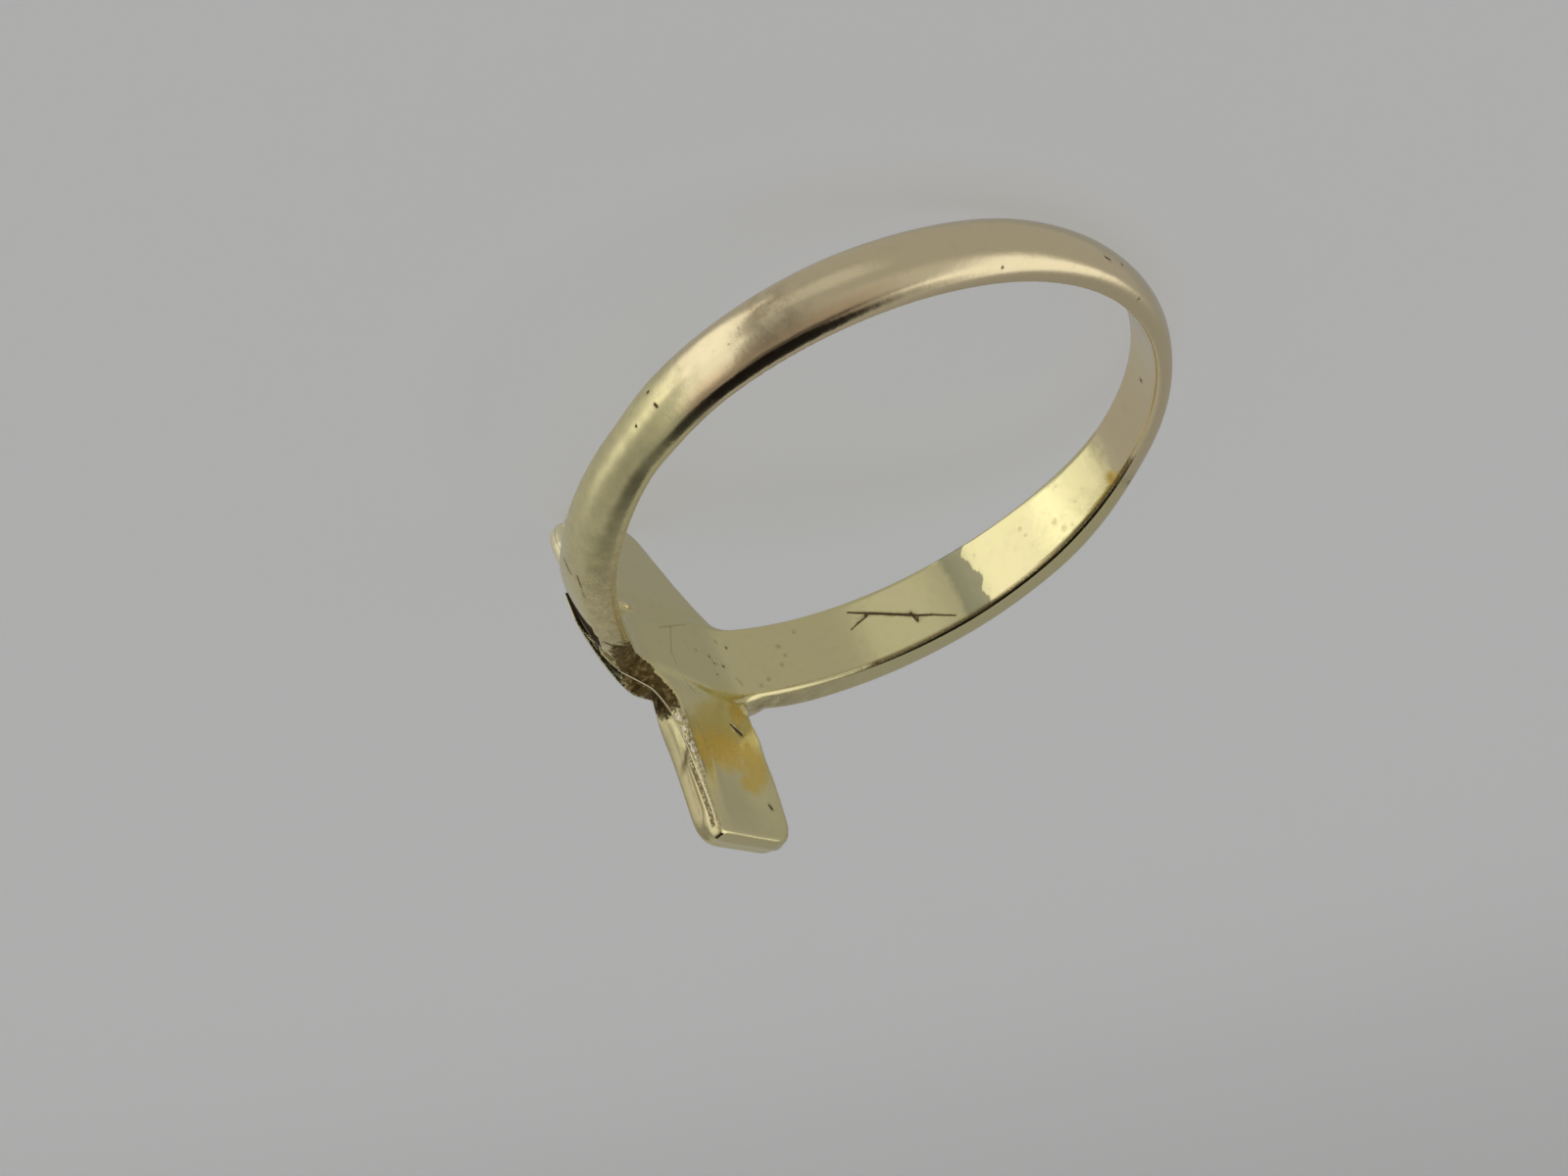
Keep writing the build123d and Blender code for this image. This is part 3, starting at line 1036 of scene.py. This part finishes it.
        # Painted shadow under the step, in the seam's dirt colour
        self.coat(w.product(masks["step"], self.grained(0.25, 0.45)), 0.95, "seam_dirt")
        self.coat(w.product(masks["crumb"], self.crumbled(0.50, 0.58)), 0.85, "light_crumb")
        self.coat(w.product(masks["crumb"], self.crumbled(0.48, 0.40)), 0.75, "dark_crumb")
        behind = w.product(foot_side, w.step(self.from_seam, 0.05, -0.02))
        self.coat(w.product(behind, self.grained(0.42, 0.56)), 0.6, "back_grain")
        side = w.product(masks["seam_side"], w.step(self.up, 5.75, 5.45))
        solder = w.window(self.from_seam, -0.016, 0.016, 0.010, 0.010)
        self.coat(w.product(side, solder), 0.8, "solder")
        groove = w.window(self.from_seam, 0.022, 0.045, 0.008, 0.010)
        self.coat(w.product(side, groove), 0.7, "groove")

    def lay_marks(self):
        """Painted shade in the slot, dirt in the pits and cuts, with faint marks and stained halos.
        """
        w, masks = self.w, self.masks
        # Painted shade in the slot: the dirt colour darkened by the slot's shade
        slot = w.step(masks["slot"], 0.35, 0.60)
        self.colour = w.blend(slot, self.colour, rgba(self.tints["dirt_and_slot_shade"], SLOT_SHADE))
        offset = w.attribute("dark_mark", "Vector")
        dark = w.node("ShaderNodeVectorMath", [(0, offset)], operation="LENGTH").outputs["Value"]
        self.pits = w.product(w.step(dark, 1.0, 0.45), masks["marked"])
        self.grime_and_shade = w.sum("MAXIMUM", slot, self.pits)
        ragged = w.sum("MULTIPLY_ADD", self.grain, 1.4, w.sum("SUBTRACT", masks["faint"], 0.7))
        self.coat(w.step(ragged, 1.0, 0.3), 0.48, "faint_mark")
        halo = w.product(w.step(dark, 2.4, 0.9), masks["marked"], self.mottled(0.35, 0.60))
        self.coat(halo, 0.45, "halo")
        self.coat(self.pits, 0.92, "dirt_and_slot_shade")

    def roughness(self):
        """Polish of the gold, duller under each finish."""
        masks = self.masks
        rough = self.w.pile_up(
            0.11,
            (
                (self.mottle, 0.10),
                (self.dull, 0.20),
                (masks["worn"], 0.16),
                (masks["foot_side"], 0.24),
                (masks["near_side"], 0.12),
                (masks["joint"], 0.08),
                (self.amber, 0.14),
                (masks["tip"], 0.22),
                (self.corner, 0.30),
            ),
        )
        return self.w.sum("MULTIPLY_ADD", self.grime_and_shade, 0.4, rough, clamp=True)

    def relief(self):
        """Hair scratches, the grain of the unpolished parts, crumbs and pits."""
        w, foot_side = self.w, self.masks["foot_side"]
        turn_and_stretch = [("Rotation", (0.3, 0.2, 0.5)), ("Scale", (1.0, 9.0, 22.0))]
        stretched = w.node("ShaderNodeMapping", [(0, self.place), *turn_and_stretch])
        hair = w.noise(stretched.outputs[0], 1.1, 2.0, 0.6)
        lumpy = w.sum("MAXIMUM", self.corner, self.strip)
        lumpy = w.sum("MAXIMUM", lumpy, w.product(foot_side, 0.5))
        height = w.pile_up(
            w.product(hair, 0.0012),
            (
                (self.mottle, 0.006),
                (w.product(self.grain, lumpy), 0.02),
                (w.product(self.crumbs, self.masks["crumb"]), 0.06),
                (self.pits, -0.02),
            ),
        )
        pairs = [("Strength", 1.0), ("Distance", MM), ("Height", height)]
        return w.node("ShaderNodeBump", pairs).outputs[0]

    def metal(self):
        """One on clean metal, less under dirt, the painted shade of the slot and the corner wall.
        """
        w = self.w
        return w.sum("SUBTRACT", 1.0, w.sum("MAXIMUM", self.grime_and_shade, w.product(self.corner, 0.4)))


def gold_material(colours):
    """Worn gold, greenish on the shoulders and rosy at the back."""
    material = bpy.data.materials.new("worn_gold_metal")
    material.use_nodes = True
    tree = material.node_tree
    finish = GoldFinish(tree, colours)
    shader = tree.nodes["Principled BSDF"]
    shader.inputs["Specular IOR Level"].default_value = 0.08
    tree.links.new(finish.metal(), shader.inputs["Metallic"])
    tree.links.new(finish.colour, shader.inputs["Base Color"])
    tree.links.new(finish.roughness(), shader.inputs["Roughness"])
    tree.links.new(finish.relief(), shader.inputs["Normal"])
    return material


def gold_mesh(form):
    """Mesh of the ring where it lies, with its normals and the shares of its finishes."""
    cell = FINE_CELL
    values = sample_grid(form, SHAPE_LOW, SHAPE_HIGH, cell)
    points, quads = surface_net(values, SHAPE_LOW, cell)
    points, normals = settle(form, points)
    place = lying_down()
    turn = np.array(place.to_3x3())
    mesh = bpy.data.meshes.new("gold")
    placed = points @ turn.T + np.array(place.translation)
    mesh.from_pydata(placed.tolist(), [], quads.tolist())
    mesh.shade_smooth()
    turned = normals @ (turn / MM).T
    mesh.normals_split_custom_set_from_vertices(turned.tolist())
    paint, vectors = surface_paint(form, points, normals)
    for name in PAINTS:
        layer = mesh.attributes.new(name, "FLOAT", "POINT")
        layer.data.foreach_set("value", paint[name].astype(np.float32))
    for name, values in vectors.items():
        layer = mesh.attributes.new(name, "FLOAT_VECTOR", "POINT")
        layer.data.foreach_set("vector", values.astype(np.float32).ravel())
    return mesh


class RING_OT_gold(bpy.types.Operator):
    """Build the band, the back sheet and the cross as one soldered piece of gold"""

    bl_idname = "ring.gold"
    bl_label = "Ring"

    def execute(self, context):
        scene = context.scene
        form = RingForm(in_millimetres(scene.ring_band), in_millimetres(scene.ring_cross))
        ring = bpy.data.objects.new("gold_ring", gold_mesh(form))
        scene.collection.objects.link(ring)
        ring.data.materials.append(gold_material(scene.ring_gold))
        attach(ring, BODY)
        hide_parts(NODE)
        return {"FINISHED"}


# Parts of the room round the ring, in degrees: counted from the opposite side or not, lean,
# low and high azimuth, softness of both sides, low and high elevation, softness of both ends,
# and added light. Those that add more than the least of a soft box are soft boxes.
ROOM_PARTS = (
    (False, 0.0, -91.0, -62.0, (2.5, 4.0), -12.0, 32.0, (3.0, 8.0), 0.60),
    (False, 0.40, -92.5, -44.0, (3.5, 14.0), -62.0, -12.0, (6.0, 3.0), 0.70),
    (False, 0.0, -50.0, -16.0, (8.0, 6.0), -18.0, -3.0, (3.0, 4.0), 0.60),
    (False, 0.40, -146.0, -106.0, (8.0, 10.0), -50.0, -22.0, (6.0, 6.0), 0.15),
    (True, 0.0, -56.0, 6.0, (7.0, 12.0), 4.0, 50.0, (8.0, 6.0), 0.62),
    (False, 0.0, -155.0, -100.0, (8.0, 5.0), 42.0, 62.0, (5.0, 4.0), -0.26),
    (False, 0.0, -200.0, 200.0, (5.0, 5.0), 61.0, 100.0, (4.0, 5.0), -0.37),
    (False, 0.0, -112.0, -96.0, (6.0, 4.0), -8.0, 30.0, (8.0, 8.0), -0.10),
    (True, 0.0, 4.0, 56.0, (8.0, 12.0), 0.0, 32.0, (8.0, 8.0), 0.12),
    (False, 0.0, 58.0, 118.0, (18.0, 10.0), -65.0, 50.0, (20.0, 20.0), -0.08),
    (False, 0.0, -52.0, -28.0, (6.0, 8.0), -2.0, 48.0, (6.0, 8.0), -0.10),
)
LEAST_SOFT_BOX = 0.5

# Floor, in metres: rings of its flat part, how far the backdrop sweeps out and up from there,
# and in how many steps and sides
FLAT_RINGS = (0.0, 0.06, 0.12)
SWEEP_OUT = 0.60
SWEEP_UP = 0.9
SWEEP_STEPS = 24
FLOOR_SIDES = 72

# Lamp over the floor, in metres, and the camera: its place in millimetres, and which way its
# right side, its top and its back face
LAMP_PLACE = (0.02, 0.02, 0.60)
LAMP_SIZE = 0.8
CAMERA_PLACE = (-22.2709, -39.0003, 23.0474)
CAMERA_AXES = (
    (-0.80139, 0.57798, 0.15402),
    (-0.33113, -0.21424, -0.91894),
    (-0.49813, -0.78743, 0.36307),
)


def studio_world(settings):
    """Pale room with soft boxes and darker parts, which the metal mirrors."""
    world = bpy.data.worlds.new("studio_room")
    world.use_nodes = True
    tree = world.node_tree
    w = Wiring(tree)
    x, y, z = w.split(w.node("ShaderNodeTexCoord").outputs["Generated"])
    around = w.sum("DEGREES", w.sum("ARCTAN2", y, x))
    turned_round = w.sum("ARCTAN2", w.product(y, -1.0), w.product(x, -1.0))
    opposite = w.sum("DEGREES", turned_round)
    height = w.sum("DEGREES", w.sum("ARCSINE", z))
    light = settings.sky
    for turned, lean, low, high, sides, bottom, top, ends, amount in ROOM_PARTS:
        across = w.sum("MULTIPLY_ADD", height, lean, opposite if turned else around)
        part = w.product(w.window(across, low, high, *sides), w.window(height, bottom, top, *ends))
        amount *= settings.window if amount > LEAST_SOFT_BOX else 1.0
        light = w.sum("MULTIPLY_ADD", part, amount, light)
    ground = tree.nodes["Background"]
    tree.links.new(light, ground.inputs["Strength"])
    ground.inputs["Color"].default_value = (1.0, 1.0, 1.0, 1.0)
    return world


def floor_mesh():
    """Floor and its sweep up all round, turned from half a section."""
    profile = [(out, 0.0) for out in FLAT_RINGS]
    for step in range(1, SWEEP_STEPS + 1):
        share = step / SWEEP_STEPS
        out = FLAT_RINGS[-1] + SWEEP_OUT * math.sin(math.pi / 2 * share)
        profile.append((out, SWEEP_UP * share**3))
    verts, faces = [], []
    for out, up in profile:
        for k in range(FLOOR_SIDES):
            angle = math.tau * k / FLOOR_SIDES
            verts.append((out * math.cos(angle), out * math.sin(angle), up))
    for row in range(len(profile) - 1):
        low, high = row * FLOOR_SIDES, (row + 1) * FLOOR_SIDES
        for k in range(FLOOR_SIDES):
            after = (k + 1) % FLOOR_SIDES
            faces.append((low + k, high + k, high + after, low + after))
    mesh = bpy.data.meshes.new("floor")
    mesh.from_pydata(verts, [], faces)
    mesh.shade_smooth()
    return mesh


def floor_material(shade):
    """Matt pale paper."""
    material = bpy.data.materials.new("pale_floor")
    material.use_nodes = True
    shader = material.node_tree.nodes["Principled BSDF"]
    shader.inputs["Base Color"].default_value = rgba(shade)
    shader.inputs["Roughness"].default_value = 0.9
    shader.inputs["Specular IOR Level"].default_value = 0.1
    return material


def overhead_lamp(watts):
    """Square lamp over the floor, which the ring doesn't mirror or shade."""
    lamp = bpy.data.lights.new("overhead", "AREA")
    lamp.shape = "SQUARE"
    lamp.size = LAMP_SIZE
    lamp.energy = watts
    lamp.use_shadow = False
    holder = bpy.data.objects.new("overhead", lamp)
    holder.location = LAMP_PLACE
    holder.rotation_euler = (-Vector(LAMP_PLACE)).to_track_quat("-Z", "Y").to_euler()
    holder.visible_glossy = False
    return holder


def photograph_camera(lens):
    """Camera at the photograph's angle."""
    camera = bpy.data.cameras.new("camera")
    camera.lens = lens
    camera.sensor_width = 36.0
    camera.clip_start = MM
    holder = bpy.data.objects.new("camera", camera)
    turn = Matrix(CAMERA_AXES).transposed().to_4x4()
    holder.matrix_world = Matrix.Translation(Vector(CAMERA_PLACE) * MM) @ turn
    return holder


class RING_OT_stage(bpy.types.Operator):
    """Lay the pale floor with its swept backdrop, and set the lights and the camera"""

    bl_idname = "ring.stage"
    bl_label = "Stage"

    def execute(self, context):
        scene = context.scene
        settings = scene.ring_stage
        floor = bpy.data.objects.new("floor", floor_mesh())
        scene.collection.objects.link(floor)
        floor.data.materials.append(floor_material(settings.floor))
        floor.visible_glossy = False
        floor.visible_shadow = False
        scene.world = studio_world(settings)
        scene.collection.objects.link(overhead_lamp(settings.overhead))
        camera = photograph_camera(settings.lens)
        scene.collection.objects.link(camera)
        scene.camera = camera
        scene.view_settings.view_transform = "Standard"
        return {"FINISHED"}


class RING_PT_sidebar(bpy.types.Panel):
    """Sidebar panel that lists the ring's sizes and colours, and its operators"""

    bl_idname = "RING_PT_sidebar"
    bl_label = "Crucifix ring"
    bl_space_type = "VIEW_3D"
    bl_region_type = "UI"
    bl_category = "Crucifix ring"

    def draw(self, context):
        for name, group in GROUPS.items():
            box = self.layout.box()
            box.label(text=group.__doc__)
            for size in group.__annotations__:
                box.prop(getattr(context.scene, name), size)
        for operator in OPERATORS:
            self.layout.operator(operator.bl_idname)


GROUPS = {
    "ring_band": BandSizes,
    "ring_cross": CrossSizes,
    "ring_gold": GoldColours,
    "ring_stage": StageSettings,
}
OPERATORS = (RING_OT_gold, RING_OT_stage)


def register():
    """Make the groups, the operators and the panel known."""
    for group in GROUPS.values():
        bpy.utils.register_class(group)
    for name, group in GROUPS.items():
        setattr(bpy.types.Scene, name, PointerProperty(type=group))
    for operator in OPERATORS:
        bpy.utils.register_class(operator)
    bpy.utils.register_class(RING_PT_sidebar)


def unregister():
    """Take them out again, the last first."""
    bpy.utils.unregister_class(RING_PT_sidebar)
    for operator in reversed(OPERATORS):
        bpy.utils.unregister_class(operator)
    for name in GROUPS:
        delattr(bpy.types.Scene, name)
    for group in reversed(GROUPS.values()):
        bpy.utils.unregister_class(group)


def main():
    """Build the ring and its stage."""
    register()
    bpy.ops.ring.gold()
    bpy.ops.ring.stage()


if __name__ == "__main__":
    main()
